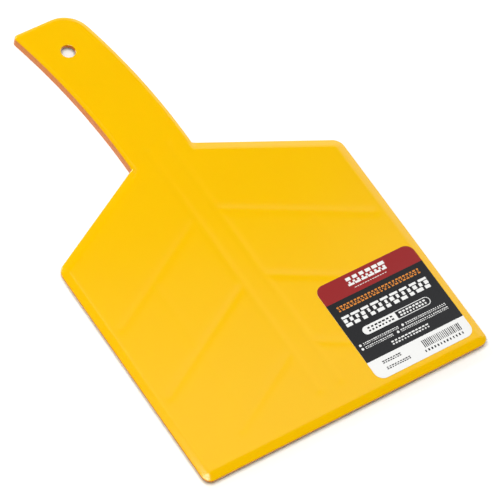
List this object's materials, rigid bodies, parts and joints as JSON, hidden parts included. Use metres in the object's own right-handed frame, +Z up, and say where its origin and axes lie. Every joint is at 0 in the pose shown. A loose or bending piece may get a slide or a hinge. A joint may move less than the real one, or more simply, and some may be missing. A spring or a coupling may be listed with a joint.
{
  "type": "mortar hawk",
  "caption": "Racket-shaped plastic mortar hawk: flat bevelled board with ribs underneath, a slightly curved channel handle with a hang hole, and a square printed label.",
  "frame": {"origin": "centre of the 180 x 280 mm outline, on the surface that the hawk lies on", "axes": "+Z up out of the working face, +Y from the board's front edge towards the handle's end, +X to the right seen from above"},
  "size_m": [0.18, 0.28, 0.0062],
  "materials": {
    "moulded_polypropylene": "semi-gloss moulded",
    "label_film": "coated print"
  },
  "bodies": {
    "root": {"board_plate": "moulded_polypropylene", "handle_top": "moulded_polypropylene", "handle_wall_left": "moulded_polypropylene", "handle_wall_right": "moulded_polypropylene", "handle_wall_end": "moulded_polypropylene", "handle_diagonal_1_left": "moulded_polypropylene", "handle_diagonal_1_right": "moulded_polypropylene", "handle_diagonal_2_left": "moulded_polypropylene", "handle_diagonal_2_right": "moulded_polypropylene", "handle_diagonal_3_left": "moulded_polypropylene", "handle_diagonal_3_right": "moulded_polypropylene", "spine_rib_left": "moulded_polypropylene", "chevron_rib_1_left": "moulded_polypropylene", "chevron_rib_2_left": "moulded_polypropylene", "chevron_rib_3_left": "moulded_polypropylene", "side_rib_left": "moulded_polypropylene", "spine_rib_right": "moulded_polypropylene", "chevron_rib_1_right": "moulded_polypropylene", "chevron_rib_2_right": "moulded_polypropylene", "chevron_rib_3_right": "moulded_polypropylene", "side_rib_right": "moulded_polypropylene", "label": "label_film"}
  },
  "joints": []
}
